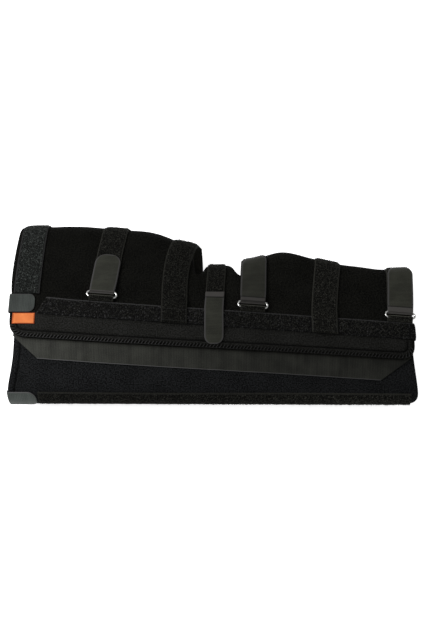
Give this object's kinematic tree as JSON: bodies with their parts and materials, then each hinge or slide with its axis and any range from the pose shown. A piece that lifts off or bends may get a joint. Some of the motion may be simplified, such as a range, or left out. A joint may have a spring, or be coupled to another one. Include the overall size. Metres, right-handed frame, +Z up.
{
  "type": "knee immobilizer",
  "caption": "Soft knee immobilizer lying flattened on its side: foam panels closed into a sleeve round the leg, with stay tapes, hook strips and webbing straps on wire rings.",
  "frame": {"origin": "on the surface that the sleeve lies on, below the middle of its whole box", "axes": "+X along the leg from the thigh end to the ankle end, +Y from the fold behind the leg to the open front, +Z up from the far side to the near side"},
  "size_m": [0.6008, 0.286, 0.0947],
  "materials": {
    "side_panel": "black brushed loop fabric on foam",
    "posterior_panel": "black fuzzy loop fabric on foam",
    "stay_tape": "black loop tape with grey pile",
    "loop_strap": "black loop webbing with grey pile",
    "hook_tape": "dark grey ribbed hook tape with a slight gloss",
    "ring_wire": "bright nickel",
    "label": "orange woven label, blank"
  },
  "bodies": {
    "root": {"posterior_panel": "posterior_panel", "near_side_panel_thigh": "side_panel", "near_side_panel_knee": "side_panel", "near_side_panel_calf": "side_panel", "far_side_panel_thigh": "side_panel", "far_side_panel_knee": "side_panel", "far_side_panel_calf": "side_panel", "near_hook_strip": "hook_tape", "far_hook_strip": "hook_tape", "near_stay_tape": "stay_tape", "far_stay_tape": "stay_tape", "posterior_stay_tape": "stay_tape", "near_pocket_tab": "hook_tape", "posterior_pocket_tab": "hook_tape", "side_label": "label", "thigh_end_strap": "loop_strap", "thigh_strap": "loop_strap", "thigh_tail": "hook_tape", "thigh_ring": "ring_wire", "thigh_anchor": "loop_strap", "above_knee_strap": "loop_strap", "knee_strap": "loop_strap", "knee_hook_end": "hook_tape", "below_knee_strap": "loop_strap", "below_knee_tail": "hook_tape", "below_knee_ring": "ring_wire", "below_knee_anchor": "loop_strap", "calf_strap": "loop_strap", "ankle_strap": "loop_strap", "ankle_tail": "hook_tape", "ankle_ring": "ring_wire", "ankle_anchor": "loop_strap"}
  },
  "joints": []
}
